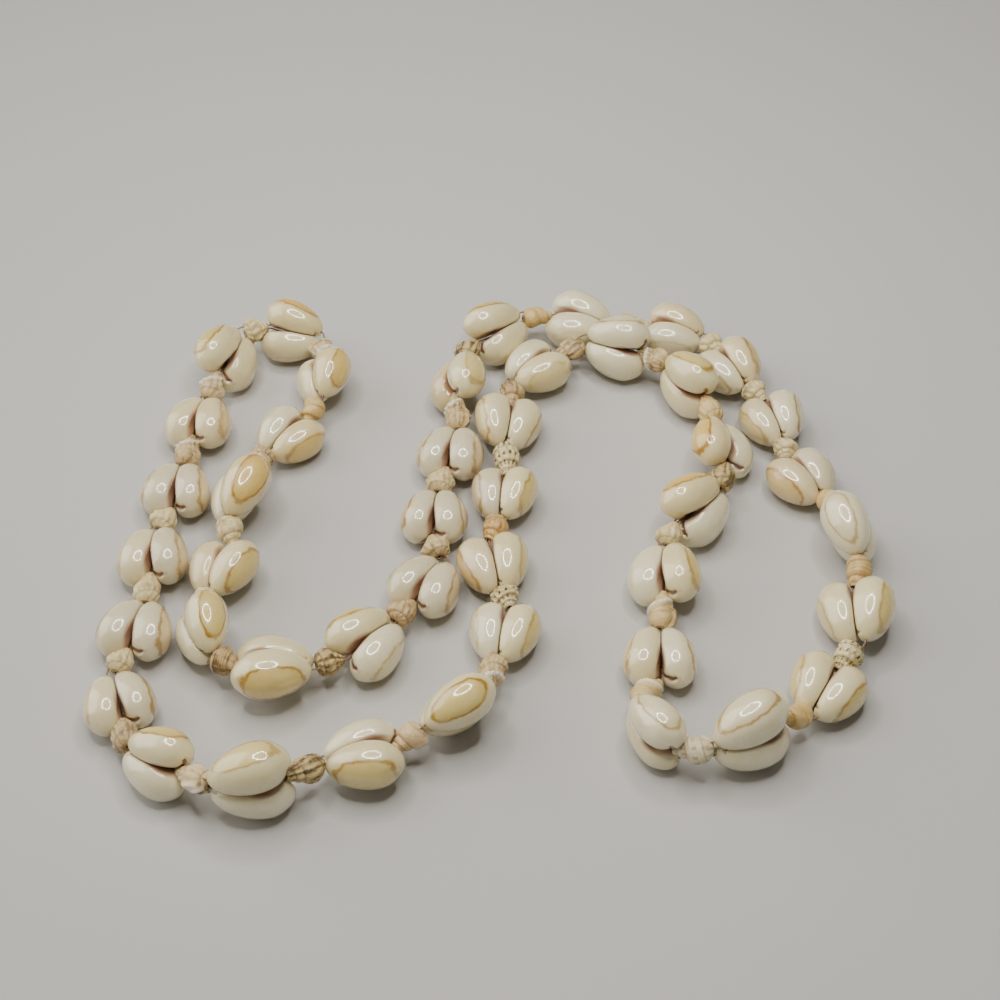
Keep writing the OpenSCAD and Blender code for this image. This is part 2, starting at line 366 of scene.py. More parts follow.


# Cowrie enamel. The attribute "ring" holds the distance from the ring line in mm, the strength
# of the line and that of the patch inside it; "belly" holds how near the slit a point is, how
# near a canal, and its height above the belly in mm. Noise is added to the distance, and each
# mark is laid over the body tone where its own value is high. The slit and the canals get
# painted shade, and the belly, where the two cowries of a pair meet, gets dirt and painted shade.
def cowrieMaterial(name, body, patch, line):
    m, n = cowrieEnamel, Finish(name)
    ringDistance, lineStrength, patchStrength = n.attribute("ring")
    slit, canal, height = n.attribute("belly")
    wander = n.math("SUBTRACT", n.noise(m["wanderScale"], 3), 0.5)
    distance = n.plus(ringDistance, n.times(wander, m["wander"]))
    grain = n.noise(m["grainScale"], 4, 0.6)
    cloud = n.ramp(n.noise(m["cloudScale"], 3), *m["cloudRamp"])
    tone = n.mix(cloud, rgb(body), rgb(body, m["cloudShare"]))
    inside = n.times(n.ramp(distance, *m["patchRamp"]), patchStrength)
    tone = n.mix(inside, tone, rgb(patch))
    # the patch deepens toward the line, and the line is fainter here and there
    near = n.times(n.ramp(distance, *m["deepenRamp"]), n.ramp(distance, *m["fadeRamp"]))
    between = [(p + q) / 2 for p, q in zip(patch, line)]
    tone = n.mix(n.times(n.times(near, lineStrength), m["deepen"]), tone, rgb(between))
    onLine = n.math("SUBTRACT", 1.0, n.ramp(n.math("ABSOLUTE", distance), *m["lineRamp"]))
    whole = n.times(n.ramp(n.noise(m["breakScale"], 2), *m["breakRamp"]), m["breaks"])
    whole = n.plus(1 - m["breaks"], whole)
    tone = n.mix(n.times(n.times(onLine, lineStrength), whole), tone, rgb(line))
    # rosy brown dirt and painted shade toward the belly, where the two cowries meet; dark painted
    # shade in the slit and the canals
    low = n.math("SUBTRACT", 1.0, n.ramp(height, *m["dirtAndShadeRamp"]))
    tone = n.mix(n.times(low, m["dirtAndShadeAmount"]), tone, rgb(m["low"]))
    # painted shade in the slit and the canals
    tone = n.mix(n.ramp(slit, *m["slitShadeRamp"]), tone, rgb(m["slit"]))
    tone = n.mix(n.ramp(canal, *m["canalShadeRamp"]), tone, rgb(m["canal"]))
    specks = n.times(n.ramp(grain, *m["speckRamp"]), m["speckAmount"])
    tone = n.mix(specks, tone, rgb(m["speck"]))
    rough = n.plus(m["rough"], n.times(grain, m["grainRough"]))
    n.shade({"Base Color": tone, "Roughness": rough, **m["shine"]})
    dents = n.plus(n.noise(m["dentScale"], 2), n.times(grain, m["grainDent"]))
    n.bump(dents, m["dentStrength"], m["dentDepth"])
    return n.material


snailSkin = {
    "cloudScale": 420, "cloudRamp": (0.35, 0.68), "cloudShare": (0.87, 0.81, 0.68),
    "grain": 0.25, "cloud": 0.2, "streak": 0.55,  # their shares in the markings
    "streaksAround": 2.2, "streaksAcross": 0.35,
    "markRamp": (0.585, 0.66), "markShift": (0.15, 0.09),  # lower if speckled
    "markLeast": 0.35,
    "dashWander": 4.0, "dashRamp": (0.1, 0.6), "rowRamp": (-0.2, 0.5), "wearRamp": (0.4, 0.52),
    "seam": 0.7, "seamRamp": (0.66, 1.0), "seamShare": (0.7, 0.65, 0.6),
    # inside is painted shade in the mouth and the bore
    "lip": (0.82, 0.74, 0.58), "inside": (0.22, 0.11, 0.06),
    "grainRough": 0.2, "grainPit": 0.6,
    "pitScale": 2600, "pitStrength": 0.8, "pitDepth": 0.00025,
    "shine": {"Coat Weight": 0.2, "Coat Roughness": 0.2, "Subsurface Weight": 0.08,
              "Subsurface Radius": (0.001, 0.0006, 0.0003), "Subsurface Scale": 1.0},
}


# Snail shell. The attribute "spire" holds the cosine and sine of the turn around the axis and
# the place across the whorl (−1 to 1); "mark" holds the inside of the mouth and the bore, which
# get painted shade, and the lip. The markings lie where a sum of grain, clouds and streaks
# passes a ramp.
def snailMaterial(name, look):
    m, n = snailSkin, Finish(name)
    cosine, sine, across = n.attribute("spire")
    inside, lip = n.attribute("mark")[:2]
    speckle = look["speckle"]
    grain = n.noise(look["spots"], 4, 0.65)
    cloud = n.noise(m["cloudScale"], 3)
    # streaks run across the whorls, from seam to seam
    where = n.add("ShaderNodeCombineXYZ", {"X": n.times(cosine, m["streaksAround"]),
                                           "Y": n.times(sine, m["streaksAround"]),
                                           "Z": n.times(across, m["streaksAcross"])}).outputs[0]
    streak = n.noise(1.0, 2, 0.5, where)
    blotch = n.plus(n.times(grain, m["grain"]), n.times(cloud, m["cloud"]))
    blotch = n.plus(blotch, n.times(streak, m["streak"]))
    low, high = [end - shift * speckle for end, shift in zip(m["markRamp"], m["markShift"])]
    marked = n.times(n.ramp(blotch, low, high), min(1.0, m["markLeast"] + speckle))
    if look["dashes"]:
        # rows of dashes along the whorl
        turned = n.times(n.math("ARCTAN2", sine, cosine), look["dashes"])
        turned = n.plus(turned, n.times(cloud, m["dashWander"]))
        row = n.math("COSINE", n.times(across, 2 * np.pi))
        dash = n.times(n.ramp(n.math("SINE", turned), *m["dashRamp"]), n.ramp(row, *m["rowRamp"]))
        dash = n.times(dash, n.ramp(blotch, *m["wearRamp"]))
        marked = n.math("MAXIMUM", marked, dash)
    cloudy = n.ramp(cloud, *m["cloudRamp"])
    tone = n.mix(cloudy, rgb(look["light"]), rgb(look["light"], m["cloudShare"]))
    tone = n.mix(marked, tone, rgb(look["dark"]))
    seam = n.times(n.ramp(n.math("ABSOLUTE", across), *m["seamRamp"]), m["seam"])
    tone = n.mix(seam, tone, rgb(look["dark"], m["seamShare"]))
    tone = n.mix(lip, tone, rgb(m["lip"]))
    # painted shade in the mouth and the bore
    tone = n.mix(inside, tone, rgb(m["inside"]))
    rough = n.plus(look["rough"], n.times(grain, m["grainRough"]))
    n.shade({"Base Color": tone, "Roughness": rough, **m["shine"]})
    pits = n.plus(n.times(grain, m["grainPit"]), n.noise(m["pitScale"], 2))
    n.bump(pits, m["pitStrength"], m["pitDepth"])
    return n.material


cordTwist = {
    "alongMm": 7.0, "around": 12.566,  # radians of the lay for each mm and for each turn
    # the groove colour is painted shade between the strands
    "layRamp": (-0.8, 0.6), "groove": (0.16, 0.085, 0.05), "strand": (0.36, 0.23, 0.14),
    "fibre": (0.30, 0.19, 0.11), "fibreScale": 5200, "fibreAmount": 0.4,
    "rough": 0.65, "fibreRough": 0.2, "strength": 0.6, "depth": 0.00008,
}


# Twisted cord. The attribute "strand" holds the place along in mm and the turn around, and the
# lay is the sine of both together. The grooves of the lay are darkened with painted shade.
def cordMaterial(name):
    m, n = cordTwist, Finish(name)
    along, turn = n.attribute("strand")[:2]
    lay = n.math("SINE", n.plus(n.times(along, m["alongMm"]), n.times(turn, m["around"])))
    fibre = n.noise(m["fibreScale"], 3)
    # painted shade in the grooves between the strands
    tone = n.mix(n.ramp(lay, *m["layRamp"]), rgb(m["groove"]), rgb(m["strand"]))
    tone = n.mix(n.times(fibre, m["fibreAmount"]), tone, rgb(m["fibre"]))
    rough = n.plus(m["rough"], n.times(fibre, m["fibreRough"]))
    n.shade({"Base Color": tone, "Roughness": rough})
    n.bump(n.plus(lay, fibre), m["strength"], m["depth"])
    return n.material


# body, patch inside the ring, ring line
cowrieTones = {
    "white": ((0.83, 0.76, 0.50), (0.80, 0.70, 0.43), (0.39, 0.215, 0.015)),
    "cream": ((0.80, 0.70, 0.41), (0.75, 0.59, 0.27), (0.37, 0.195, 0.015)),
    "grey": ((0.73, 0.65, 0.43), (0.71, 0.56, 0.31), (0.33, 0.175, 0.015)),
    "yellow": ((0.81, 0.71, 0.40), (0.75, 0.58, 0.19), (0.38, 0.205, 0.01)),
    "amber": ((0.80, 0.67, 0.35), (0.77, 0.53, 0.14), (0.39, 0.19, 0.01)),
    "peach": ((0.80, 0.67, 0.38), (0.77, 0.55, 0.22), (0.38, 0.175, 0.015)),
    "tan": ((0.71, 0.56, 0.29), (0.62, 0.44, 0.16), (0.33, 0.17, 0.01)),
}
cowrieFinish = {key: cowrieMaterial("cowrie_" + key, *tones) for key, tones in cowrieTones.items()}

# tone of the left and of the right cowrie with the strength of its ring, then the snail's look
looks = [
    ("cream", 0.2, "amber", 0.9, "knobby"),
    ("cream", 0.2, "yellow", 1.0, "ringed"),
    ("peach", 0.5, "cream", 0.5, "brownWhite"),
    ("grey", 0.8, "grey", 0.8, "cream"),
    ("grey", 0.7, "cream", 0.5, "cream"),
    ("grey", 0.8, "grey", 0.8, "cream"),
    ("grey", 0.8, "cream", 0.5, "speckled"),
    ("yellow", 0.9, "white", 0.2, "dotted"),
    ("yellow", 0.6, "white", 0.1, "darkSpeckled"),
    ("white", 0.2, "yellow", 0.8, "pink"),
    ("cream", 0.3, "yellow", 1.0, "brownWhite"),
    ("white", 0.4, "yellow", 0.7, "dashed"),
    ("peach", 0.8, "yellow", 0.6, "orange"),
    ("grey", 0.8, "yellow", 0.8, "dashed"),
    ("cream", 0.8, "cream", 0.8, "brown"),
    ("white", 0.2, "yellow", 0.3, "speckled"),
    ("white", 0.8, "white", 0.2, "brownWhite"),
    ("yellow", 0.9, "cream", 0.3, "tan"),
    ("white", 0.2, "amber", 1.0, "darkSpeckled"),
    ("white", 0.2, "amber", 0.9, "cream"),
    ("yellow", 0.8, "white", 0.1, "curled"),
    ("white", 0.8, "cream", 0.8, "curled"),
    ("white", 0.7, "cream", 0.4, "white"),
    ("white", 0.8, "white", 0.2, "yellow"),
    ("yellow", 0.7, "yellow", 0.8, "dashed"),
    ("cream", 0.6, "yellow", 0.7, "tanBanded"),
    ("white", 0.6, "white", 0.2, "yellow"),
    ("peach", 0.8, "grey", 0.8, "cream"),
    ("cream", 0.6, "white", 0.9, "cream"),
    ("white", 0.6, "peach", 0.8, "knobby"),
    ("white", 0.3, "peach", 0.7, "cream"),
    ("white", 0.2, "white", 0.3, "yellow"),
    ("cream", 0.2, "yellow", 1.0, "darkSpeckled"),
    ("yellow", 0.6, "tan", 0.5, "brownWhite"),
    ("grey", 0.7, "grey", 0.7, "pagoda"),
    ("grey", 0.7, "grey", 0.8, "pagodaBrown"),
    ("grey", 0.8, "grey", 0.8, "brown"),
    ("white", 0.5, "yellow", 0.9, "darkSpeckled"),
    ("yellow", 1.0, "cream", 0.2, "rust"),
    ("white", 0.2, "yellow", 1.0, "dashed"),
    ("peach", 0.2, "yellow", 1.0, "cream"),
    ("white", 0.2, "amber", 1.0, "brownWhite"),
    ("white", 0.3, "amber", 0.8, "yellow"),
    ("white", 0.2, "amber", 0.9, "ringed"),
]

# Lengths in mm. A stretch along the shell is (start, width) or (end, width), with 0 at the
# closed end and 1 at the open one.
cowrieShape = {
    "rows": 48, "columns": 68,
    "spacing": (0.55, 0.45),  # the columns lie closer near the middle of the belly
    "fullness": 0.99, "swellTwo": 0.018, "swellThree": 0.015,
    "plump": 0.06, "backEdge": 0.2, "backSlope": 0.9,
    "pinchOpen": 0.1, "pinchFrom": (0.76, 0.2), "pinchClosed": 0.04, "pinchTo": (0.2, 0.2),
    "baseRound": 0.45,  # rounding between the back and the belly
    "splay": 1.1, "splayFrom": (0.4, 0.5), "splayPower": 1.4,
    "lipSplay": 0.1, "lipWide": 3.2,  # the share of it at the lips, and their width
    "liftOpen": 0.5, "liftFrom": (0.79, 0.12), "liftClosed": 0.2, "liftTo": (0.12, 0.12),
    "bendOpen": 1.6, "bendFrom": (0.7, 0.25), "bendClosed": 1.2, "bendTo": (0.25, 0.2),
    "slitHalf": 0.4, "slitDepth": 0.8, "slitFrom": (0.04, 0.08), "slitTo": (0.985, 0.05),
    "slitWiden": 0.9, "widenFrom": (0.72, 0.22),
    "teeth": 15, "toothReach": 1.1, "toothWide": 0.7, "toothHeight": 0.1,
    "interlock": 0.34, "waveWide": 2.0, "waveHigh": 1.2, "closer": 0.11, "closerHigh": 1.5,
    "canals": [(0.94, 1, 1.0), (0.06, -1, 0.8)],  # place along, side, size
    "canalTurn": 0.8, "canalCurve": 0.2, "canalWide": 0.65, "canalLong": 0.22,
    "canalIn": 0.45, "canalUp": 0.25,
    "ringLong": 0.38, "ringWide": 4.9, "backNarrower": 1.6,  # narrower where the back shows
    "ringTaper": 0.25, "ringVaries": 0.1, "ringShift": 0.03, "ringStray": 0.5, "ringScale": 3.2,
    "patchLeast": 0.35, "patchMore": 0.6,
    # the dirt and painted shade on the belly reach less high at the closed end
    "paleClosed": 0.9, "paleTo": (0.35, 0.3),  # the belly tint starts lower at the closed end
}


# One cowrie in its pair's frame: x forward from the closed ends, y away from the belly, z
# across. It is an egg about an axis that leans by the open angle, with low swellings and
# slightly pinched ends:
#   u = L/2·(1 − cos a), R = girth·k·sin a·(1 − egg·cos a), v = rise − R·cos t, z = R·sin t
#   x = u·cos o − v·sin o, y = u·sin o + v·cos o
# A soft floor f flattens the belly: y = (y + f + sqrt((y − f)² + s²))/2. The floor is lowest
# along the slit and bends away from the other cowrie beside it, more so toward the open end.
# Both bellies then follow one wave, interlock·bell(z)·bell(y)·sin a, added to y on the left
# and taken from it on the right. A groove with teeth makes the slit, curved notches the canals.
# Returns the points, the distance from the ring line, and the slit, canal and belly values.
def cowrieGrid(length, openAngle, turn, ringWide, flat, seed):
    c = cowrieShape
    k = length / referenceLength
    some = np.random.default_rng(seed).uniform(-1, 1, 8)
    a = np.linspace(0, np.pi, c["rows"])[:, None]
    s = np.linspace(-1, 1, c["columns"], endpoint=False)[None, :]
    t = np.pi * s * (c["spacing"][0] + c["spacing"][1] * s * s)  # 0 at the middle of the belly
    along = (1 - np.cos(a)) / 2
    u = length * along
    radius = girth * k * np.sin(a) * (1 - egg * np.cos(a))
    # swellings, so that no two shells are the same egg; flat pairs have fuller backs
    back = smoothStep(c["backEdge"] - c["backSlope"] * np.cos(t))
    plump = c["plump"] * flat * back * np.sin(a)
    swellTwo = c["swellTwo"] * some[0] * np.sin(2 * t + 3 * some[1]) * np.sin(a)
    swellThree = c["swellThree"] * some[2] * np.sin(3 * t + 2 * a + 3 * some[3])
    radius = radius * (c["fullness"] + plump + swellTwo + swellThree)
    radius = radius * (1 - c["pinchOpen"] * rising(along, *c["pinchFrom"])
                       - c["pinchClosed"] * falling(along, *c["pinchTo"]))
    v = rise * k - radius * np.cos(t)
    z = radius * np.sin(t)
    o = np.radians(openAngle)
    x = u * np.cos(o) - v * np.sin(o)
    y = u * np.sin(o) + v * np.cos(o)
    # the lips touch along the slit; beside them the bellies part
    beyondLips = smoothStep(np.abs(z) / (c["lipWide"] * k))
    splay = c["splay"] * k * rising(along, *c["splayFrom"]) ** c["splayPower"]
    floorY = splay * (c["lipSplay"] + (1 - c["lipSplay"]) * beyondLips)
    floorY = floorY + c["liftOpen"] * rising(along, *c["liftFrom"])
    floorY = floorY + c["liftClosed"] * falling(along, *c["liftTo"])
    soft = c["baseRound"] * np.sin(a) ** 0.5
    y = (y + floorY + np.sqrt((y - floorY) ** 2 + soft ** 2)) / 2
    # the slit runs along the belly and bends at both ends, to opposite sides
    bend = turn * (c["bendOpen"] * rising(along, *c["bendFrom"])
                   - c["bendClosed"] * falling(along, *c["bendTo"])) * k
    offset = z - bend
    wide = c["slitHalf"] * (1 + c["slitWiden"] * rising(along, *c["widenFrom"]))
    within = rising(along, *c["slitFrom"]) * falling(along, *c["slitTo"])
    under = np.cos(t) > 0
    slit = np.where(under, bell(offset, wide) * within, 0)
    comb = 0.5 + 0.5 * np.cos(2 * np.pi * c["teeth"] * along)
    teeth = bell(np.abs(offset) - c["toothReach"], c["toothWide"]) * within * comb
    y = y + c["slitDepth"] * slit + c["toothHeight"] * np.where(under, teeth, 0)
    # the shared wave closes the two bellies on each other without a clear gap
    wave = turn * c["interlock"] * bell(z, c["waveWide"] * k) * bell(y, c["waveHigh"]) * np.sin(a)
    y = y + wave - c["closer"] * bell(y, c["closerHigh"])
    canal = 0
    for canalAt, sign, canalSize in c["canals"]:
        sideways = (t - sign * turn * c["canalTurn"]) * radius
        lengthways = (along - canalAt) * length + c["canalCurve"] * sideways ** 2 * sign
        notch = bell(sideways, c["canalWide"] * canalSize)
        canal = canal + notch * bell(lengthways, c["canalLong"] * canalSize)
    x = x - c["canalIn"] * canal * np.sign(along - 0.5)
    y = y + c["canalUp"] * canal
    # the ring on the back, a teardrop that is wider toward the open end
    around = (np.pi - np.abs(t)) * radius * np.sign(t)
    varied = 1 + c["ringTaper"] * (along - 0.5) + c["ringVaries"] * some[4]
    ringX = (along - 0.5 - c["ringShift"] * some[5]) / c["ringLong"]
    ringZ = (around + c["ringStray"] * some[6]) / (ringWide * k * varied)
    ring = (np.sqrt(ringX ** 2 + ringZ ** 2) - 1) * c["ringScale"]
    points = np.stack([x + 0 * t, y + 0 * t, z + 0 * t], -1)
    points[0], points[-1] = points[0].mean(0), points[-1].mean(0)
    # height above the belly that the dirt and painted shade fade with, counted higher near the
    # closed end so that they stay lower there
    belly = y + c["paleClosed"] * (1 - rising(along, *c["paleTo"])) + 0 * t
    return points, ring, slit, canal, belly


for i, row in enumerate(pairs):
    leftTone, leftRing, rightTone, rightRing = looks[i][:4]
    forward, across, width = pairAxes(row)
    upright = abs(across[2])
    ringWide = cowrieShape["ringWide"] - cowrieShape["backNarrower"] * upright
    for side, name, tone, strength in ((1, "left", leftTone, leftRing),
                                       (-1, "right", rightTone, rightRing)):
        seed = 2 * i + (side > 0)
        shell = cowrieGrid(row[lengthAt], row[openAt], side, ringWide, 1 - upright, seed)
        if side > 0:
            shell = [v[:, ::-1] for v in shell]  # the left frame is a mirror image: faces turn
        grid, ring, slit, canal, belly = shell
        start = centres[i] + bellyPoint(row, side, 0, 0)
        points = place(grid, start, forward, side * across, width)
        patch = cowrieShape["patchLeast"] + cowrieShape["patchMore"] * strength
        values = {
            "ring": np.stack([ring, np.full_like(ring, strength), np.full_like(ring, patch)], -1),
            "belly": np.stack([slit, canal, belly], -1),
        }
        pieceName = "cowrie_%s_%02d" % (name, i + 1)
        piece = gridMesh(pieceName, [(points, values, False)], cowrieFinish[tone])
        declare(piece, "cowries_" + name)
print("cowries", 2 * count)

# Snails: number of whorls, of ribs around and of ridges (cords) along a whorl, height of a rib
# and of a ridge as shares of the radius, how strong the flared lip and the pale curl are, which
# way the lip faces in degrees, the two colours, how much is dark, dashes around, scale of the
# grain, roughness
plainSnail = {"ribs": 0, "rib": 0, "cords": 0, "cord": 0, "lip": 0, "curl": 0,
              "dashes": 0, "spots": 900, "rough": 0.45}
snailLooks = {
    "cream": dict(whorls=3.4, ribs=11, rib=0.05, facing=150,
                  light=(0.76, 0.63, 0.34), dark=(0.40, 0.314, 0.14), speckle=0.5),
    "knobby": dict(whorls=3.2, ribs=9, rib=0.10, lip=0.3, facing=120,
                   light=(0.78, 0.66, 0.37), dark=(0.40, 0.325, 0.16), speckle=0.45),
    "ringed": dict(whorls=4.4, ribs=10, rib=0.09, curl=0.8, facing=-70,
                   light=(0.68, 0.54, 0.31), dark=(0.22, 0.146, 0.07), speckle=0.6),
    "brownWhite": dict(whorls=3.2, ribs=14, rib=0.06, cords=4, cord=0.03, curl=1, facing=-60,
                       light=(0.64, 0.48, 0.24), dark=(0.18, 0.112, 0.05), speckle=0.8),
    "speckled": dict(whorls=3.2, ribs=12, rib=0.05, lip=0.2, facing=150,
                     light=(0.66, 0.50, 0.26), dark=(0.26, 0.179, 0.08), speckle=0.8),
    "dotted": dict(whorls=3.2, ribs=10, rib=0.07, lip=1, facing=40,
                   light=(0.76, 0.61, 0.35), dark=(0.30, 0.19, 0.08), speckle=0.4),
    "darkSpeckled": dict(whorls=3.4, ribs=10, rib=0.08, lip=0.2, facing=140, spots=1400,
                         light=(0.60, 0.45, 0.20), dark=(0.12, 0.078, 0.025), speckle=0.85),
    "pink": dict(whorls=3, lip=0.4, facing=60,
                 light=(0.70, 0.52, 0.29), dark=(0.44, 0.314, 0.16), speckle=0.45),
    "dashed": dict(whorls=3.2, ribs=12, rib=0.06, cords=3, cord=0.05, lip=0.5, facing=160,
                   light=(0.76, 0.64, 0.35), dark=(0.11, 0.0784, 0.03), speckle=0.25, dashes=12),
    "orange": dict(whorls=2.6, ribs=12, rib=0.04, facing=160, rough=0.3,
                   light=(0.68, 0.43, 0.14), dark=(0.34, 0.202, 0.06), speckle=0.6),
    "brown": dict(whorls=3.4, ribs=13, rib=0.07, cords=3, cord=0.03, lip=0.3, facing=140,
                  light=(0.60, 0.43, 0.21), dark=(0.24, 0.157, 0.07), speckle=0.6),
    "curled": dict(whorls=3.2, ribs=26, rib=0.07, curl=1, facing=-60,
                   light=(0.73, 0.55, 0.26), dark=(0.42, 0.302, 0.11), speckle=0.5),
    "rust": dict(whorls=3.2, cords=6, cord=0.06, facing=150,
                 light=(0.57, 0.41, 0.19), dark=(0.22, 0.134, 0.05), speckle=0.85),
    "tan": dict(whorls=3.2, ribs=12, rib=0.06, lip=0.2, facing=150,
                light=(0.72, 0.53, 0.23), dark=(0.46, 0.336, 0.13), speckle=0.4),
    "tanBanded": dict(whorls=2.6, ribs=20, rib=0.03, cords=4, cord=0.03, facing=160,
                      light=(0.64, 0.44, 0.18), dark=(0.42, 0.291, 0.10), speckle=0.45),
    "white": dict(whorls=2.8, cords=5, cord=0.02, lip=0.3, facing=160, dashes=9, rough=0.3,
                  light=(0.80, 0.69, 0.46), dark=(0.46, 0.392, 0.24), speckle=0.1),
    "yellow": dict(whorls=1.8, facing=170, rough=0.3,
                   light=(0.72, 0.51, 0.19), dark=(0.58, 0.403, 0.13), speckle=0.15),
    "pagoda": dict(whorls=4.2, ribs=12, rib=0.06, cords=2, cord=0.04, lip=0.2, facing=160,
                   light=(0.74, 0.60, 0.32), dark=(0.36, 0.269, 0.12), speckle=0.4),
    "pagodaBrown": dict(whorls=4.2, ribs=12, rib=0.07, cords=2, cord=0.04, lip=0.2, facing=100,
                        light=(0.66, 0.50, 0.26), dark=(0.24, 0.168, 0.07), speckle=0.6),
}
snailLooks = {key: {**plainSnail, **look} for key, look in snailLooks.items()}
snailFinish = {key: snailMaterial("snail_" + key, look) for key, look in snailLooks.items()}

# Lengths in mm, or shares of the radius, of the length or of one turn around
snailShape = {
    "rows": 54, "columns": 56, "rowPower": 0.92,  # the rows lie a little closer near the mouth
    "wide": 1.13,  # body radius against the CAD's
    "tipWide": 0.98, "firstWhorl": 0.2, "lastWhorl": 0.30, "lastSeat": 1.02,
    "inner": 0.42, "square": 2.3, "flare": 0.10, "flareFrom": (-0.12, 0.12),
    "core": 0.80, "coreSoft": 0.06, "domePower": 2.2, "domeOpen": 0.01,
    "fullness": 0.985, "tipPlain": 0.1, "mouthPlain": 0.12,
    "ribScale": 1.4, "ribSlant": 0.25, "ribVaries": 0.25,
    "wanderTwo": 0.025, "wanderFive": 0.015,
    "mouthDeep": 0.28, "mouthPast": 0.085, "mouthWide": 0.06,
    "mouthUp": 0.25, "mouthTall": 0.75, "mouthSoft": 0.75,
    "climb": 0.75, "climbEnd": 0.6,  # how steeply the curl winds, and how far round
    "curlHigh": 0.42, "curlWide": 0.55, "curlAt": 0.2, "curlTo": (0.62, 0.12),
    "hollowDeep": 0.25, "hollowWide": 0.4, "hollowAt": 0.36, "hollowTo": (0.6, 0.12),
    "lipFrom": (-0.11, 0.09), "lipLow": 1.2, "lipFade": 0.5, "facingVaries": 18,
    "inside": [(0.99, 1.1), (0.9, 0.9), (0.6, throat), (0.3, 0.8), (0.0, 0.68)],  # place, radius
    "sink": 0.4,  # how deep the mouth end may sink into the next cowries
    "longer": 0.5, "shorter": 2.4, "tries": 13,
}


# One snail, tip at the origin, axis z. Its skin is the outside of a whorl coiled on a cone whose
# apex lies behind the tip. At q turns before the lip the whorl has the scale g, which falls
# evenly to the drilled tip; its oval section is centred at radius g·d and height
# −h + g·(c + h), and the skin at (z, angle) is the widest of all the whorls there:
#   r = g·(d + a·(1 − |x|^p)^(1/p)), x = (z − centre)/(g·b)
# A core fills what lies between the whorls and rounds off the mouth end.
# Returns the points and the values of the attributes "spire" and "mark".
def snailGrid(formIndex, look, length, seed):
    c = snailShape
    body = forms[formIndex][0] * c["wide"]
    some = np.random.default_rng(seed).uniform(-1, 1, 8)
    whorls, p = look["whorls"], c["square"]
    z = length * np.linspace(0, 1, c["rows"])[:, None] ** c["rowPower"]
    turn = np.linspace(-1, 0, c["columns"], endpoint=False)[None, :] + 0.5 / c["columns"]
    last = (c["tipWide"] / body) ** (1 / whorls)
    d, a = body * c["inner"], body * (1 - c["inner"])
    b = length * c["lastWhorl"]
    centre = length - c["lastSeat"] * b
    back = (last ** whorls * centre - c["firstWhorl"]) / (1 - last ** whorls)
    r = np.zeros((c["rows"], c["columns"]))
    across = np.zeros_like(r)
    for k in range(int(np.ceil(whorls)) + 1):
        q = turn - k
        g = last ** (-q)
        x = (z + back - g * (centre + back)) / (g * b)
        flare = 1 + c["flare"] * look["lip"] * rising(q, *c["flareFrom"])  # just before the lip
        oval = np.maximum(0, 1 - np.abs(x) ** p) ** (1 / p)
        skin = g * (d + a * oval) * (np.abs(x) < 1) * flare
        across = np.where(skin > r, x, across)
        r = np.maximum(r, skin)
    # the core is a cone up to the last whorl, then a dome
    dome = np.clip((z - centre) / (length - centre + c["domeOpen"]), 0, 1)
    dome = np.sqrt(np.maximum(0, 1 - dome ** c["domePower"]))
    cone = c["tipWide"] + (body - c["tipWide"]) * np.clip(z / centre, 0, 1)
    core = c["core"] * cone * dome
    soft = c["coreSoft"] * body
    r = (r + core + np.sqrt((r - core) ** 2 + soft ** 2)) / 2
    # ribs, ridges and a slight unevenness, none of them at the two ends
    relief = smoothStep(z / (c["tipPlain"] * length))
    relief = relief * smoothStep((length - z) / (c["mouthPlain"] * length))
    angle = 2 * np.pi * turn
    ribPhase = look["ribs"] * (angle + c["ribSlant"] * across) + 5 * some[1]
    ribs = c["ribScale"] * look["rib"] * np.cos(ribPhase) * (1 - across ** 2)
    varied = np.cos(3 * angle + 5 * z / length + 5 * some[2])
    ribs = ribs * (1 - c["ribVaries"] + c["ribVaries"] * varied)
    cords = look["cord"] * np.cos(np.pi * look["cords"] * across)
    wander = (c["wanderTwo"] * np.sin(2 * angle + 4 * z / length + 6 * some[3])
              + c["wanderFive"] * np.sin(5 * angle - 9 * z / length + 6 * some[4]))
    r = r * (c["fullness"] + relief * (ribs + cords + wander))
    # the mouth, just past the lip: a slanting oval pressed in toward the mouth end
    past = (turn + 1) % 1  # turns beyond the lip, 0 to 1
    up = (z - centre - c["mouthUp"] * b) / (c["mouthTall"] * b)
    mouth = bell(past - c["mouthPast"], c["mouthWide"]) * bell(up, c["mouthSoft"])
    mouth = mouth * min(1.0, 1.5 * look["lip"])
    r = r * (1 - c["mouthDeep"] * mouth)
    # a thick pale curl with a hollow behind it winds from the tip's side down across the front
    climb = c["climb"] * np.clip(past, 0, c["climbEnd"])
    curl = look["curl"] * bell(z - length * (c["curlAt"] + climb), c["curlWide"])
    curl = curl * falling(past, *c["curlTo"])
    hollow = look["curl"] * bell(z - length * (c["hollowAt"] + climb), c["hollowWide"])
    hollow = hollow * falling(past, *c["hollowTo"])
    r = r + c["curlHigh"] * curl - c["hollowDeep"] * hollow
    lip = smoothStep((z - centre + c["lipLow"] * b) / (c["lipFade"] * b))
    lip = rising(turn, *c["lipFrom"]) * lip * min(1.0, 1.2 * look["lip"])
    lip = np.maximum(lip, np.minimum(1, 1.3 * curl))
    facing = angle + np.radians(look["facing"] + c["facingVaries"] * some[0])
    outer = np.stack([r * np.cos(facing), r * np.sin(facing), z + 0 * r], -1)
    # back along the inside: mouth hole, throat and tip hole
    hole = np.array(c["inside"])
    holeZ, holeR = length * hole[:, :1], hole[:, 1:]
    inner = np.stack([holeR * np.cos(facing), holeR * np.sin(facing), holeZ + 0 * facing], -1)
    none = np.zeros((len(hole), c["columns"]))

    def both(onSkin, inHole=none):
        return np.concatenate([onSkin + 0 * r, inHole])

